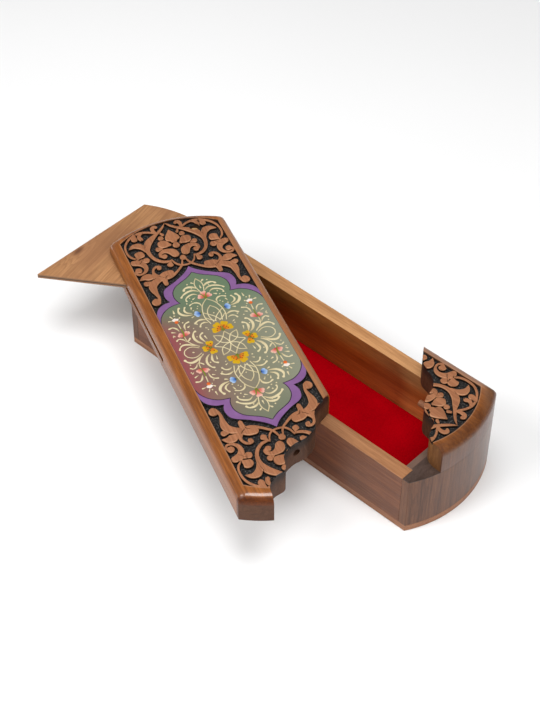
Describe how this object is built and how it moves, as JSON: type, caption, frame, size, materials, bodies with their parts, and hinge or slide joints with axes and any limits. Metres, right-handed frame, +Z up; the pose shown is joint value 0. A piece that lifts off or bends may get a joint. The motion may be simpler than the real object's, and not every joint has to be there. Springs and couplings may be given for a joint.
{
  "type": "puzzle box",
  "caption": "Long carved wooden puzzle box with bulging ends, shown open: the lid slides off a peg and swings aside once a thin leaf is turned out of its slot.",
  "frame": {"origin": "middle of the underside, on the surface that the box stands on", "axes": "+X along the box towards the end that holds the peg, +Y towards the wall that the fixed carved end covers most of, +Z up"},
  "size_m": [0.2915, 0.1669, 0.0612],
  "materials": {
    "walnut": "satin lacquer",
    "carved_walnut": "gloss lacquer over carving",
    "pale_wood": "bare",
    "felt": "felt",
    "steel": "plain"
  },
  "bodies": {
    "box": {"bottom_board": "walnut", "front_wall": "walnut", "back_wall": "walnut", "left_end_block": "walnut", "right_end_block": "walnut", "felt_lining": "felt", "fixed_lid_end": "carved_walnut", "lock_peg": "pale_wood", "pivot_screw": "steel"},
    "collar": {"pivot_collar": "pale_wood"},
    "lid": {"lid_panel": "carved_walnut", "access_plug": "pale_wood", "stop_pin": "pale_wood"},
    "leaf": {"swing_leaf": "walnut"}
  },
  "joints": [
    {"name": "lid_swing", "type": "hinge", "parent": "box", "child": "collar", "pos_m": [-0.1095, 0.0168, 0.0428], "axis": [0, 0, 1], "range_deg": [-155.4, 24.6]},
    {"name": "lid_slide", "type": "slide", "parent": "collar", "child": "lid", "axis": [0.9092, -0.4163, 0], "range_m": [0, 0.008]},
    {"name": "leaf_swing", "type": "hinge", "parent": "collar", "child": "leaf", "pos_m": [-0.1095, 0.0168, 0.0485], "axis": [0, 0, 1], "range_deg": [-8, 64.2]}
  ]
}
